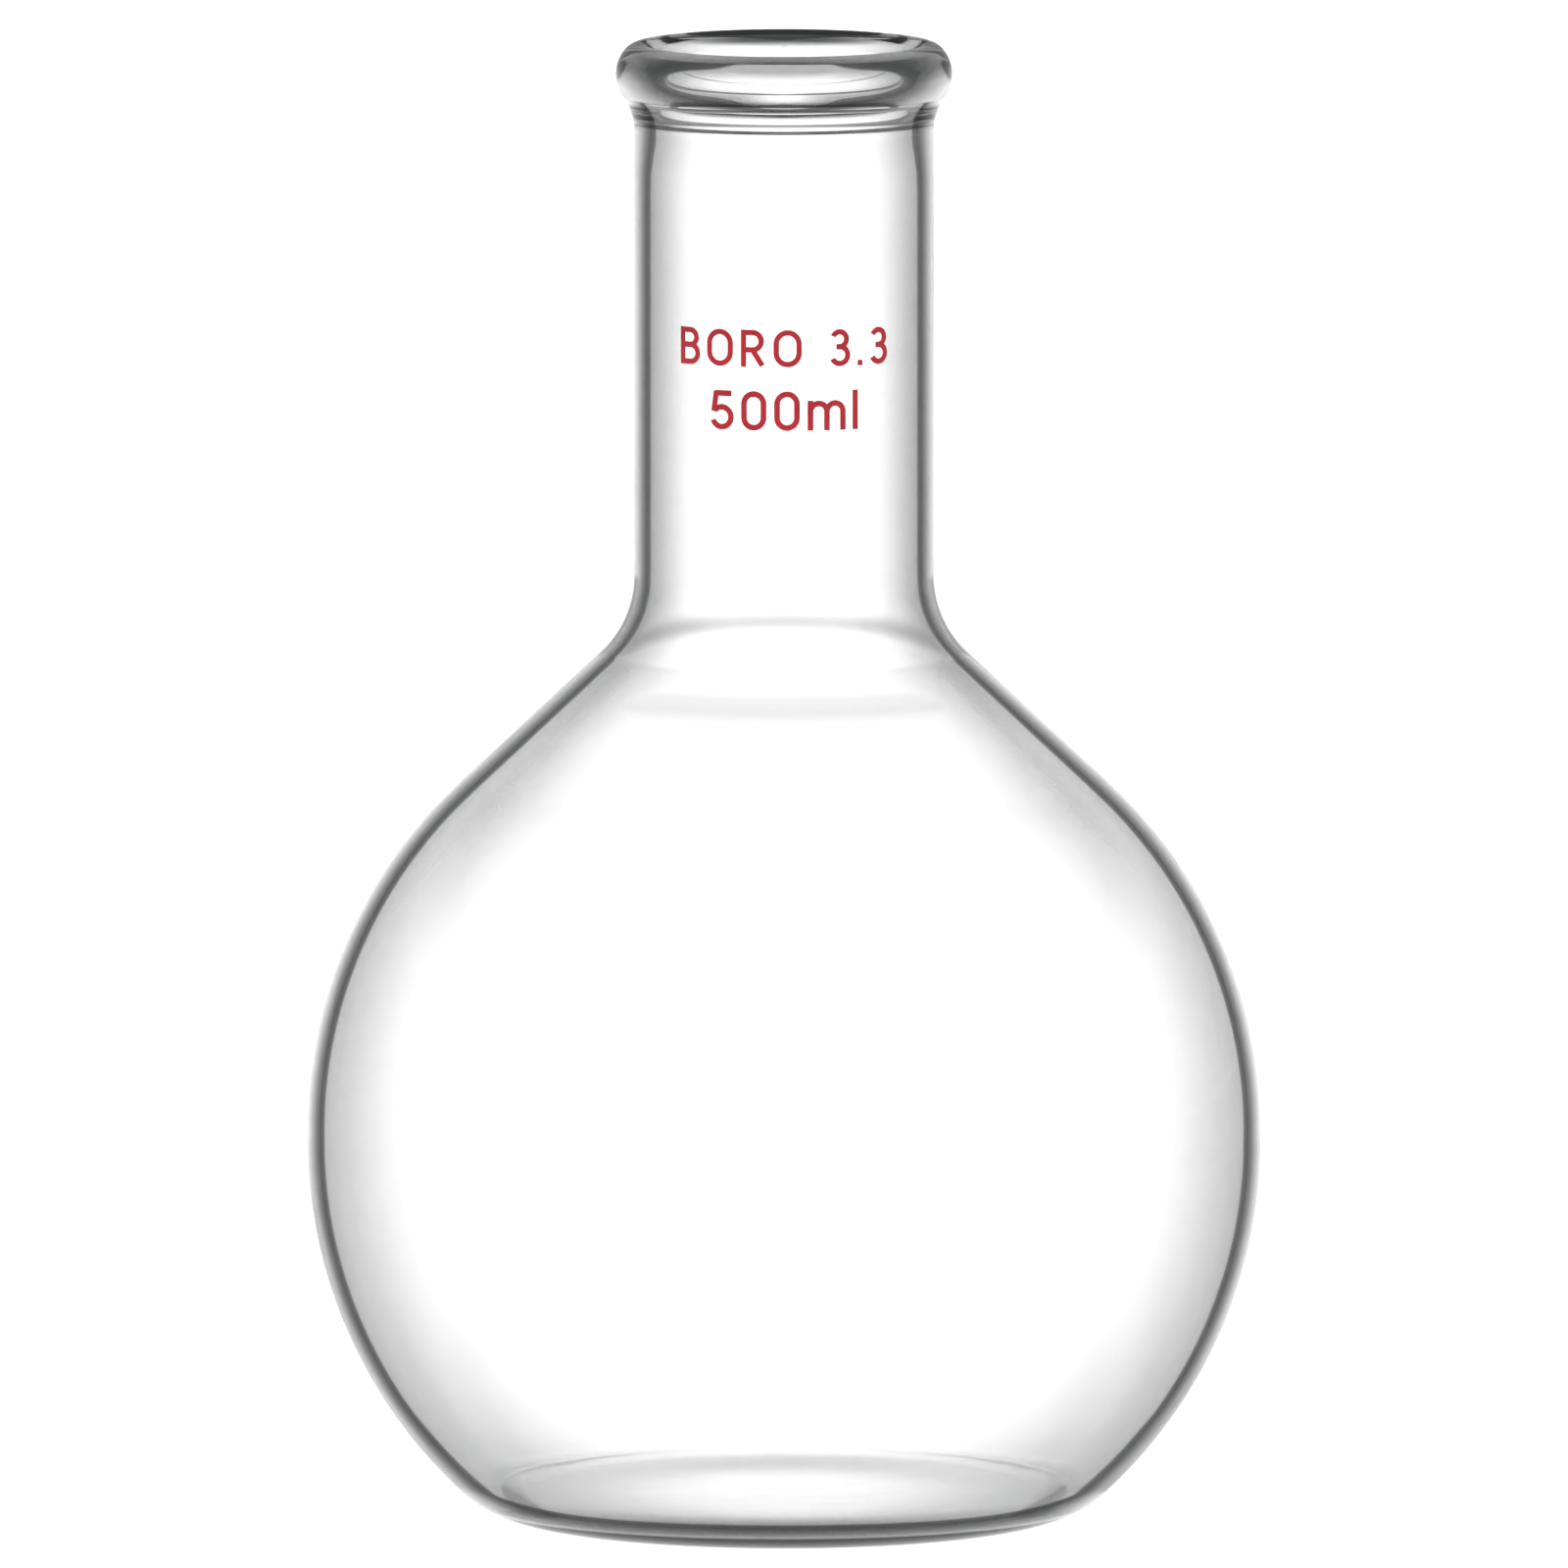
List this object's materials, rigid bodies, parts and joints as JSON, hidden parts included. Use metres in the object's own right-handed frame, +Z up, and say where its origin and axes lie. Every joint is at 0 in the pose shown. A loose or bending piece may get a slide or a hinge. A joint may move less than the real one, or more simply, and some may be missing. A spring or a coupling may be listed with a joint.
{
  "type": "flat bottom flask",
  "caption": "Clear glass boiling flask with a round bulb, a flat base to stand on, a straight narrow neck and a beaded rim, marked with its capacity.",
  "frame": {"origin": "centre of the flat underside, on the surface that the flask stands on", "axes": "+Z up along the flask's axis of revolution, -Y towards the enamel mark, +X to the right of somebody who reads it"},
  "size_m": [0.105, 0.105, 0.163],
  "materials": {
    "glass": "clear fire-polished borosilicate glass",
    "enamel": "red glass enamel, screen printed and fired on"
  },
  "bodies": {
    "root": {"flat_base": "glass", "bulb": "glass", "shoulder": "glass", "neck_tube": "glass", "beaded_rim": "glass", "capacity_mark": "enamel", "glass_type_mark": "enamel"}
  },
  "joints": []
}
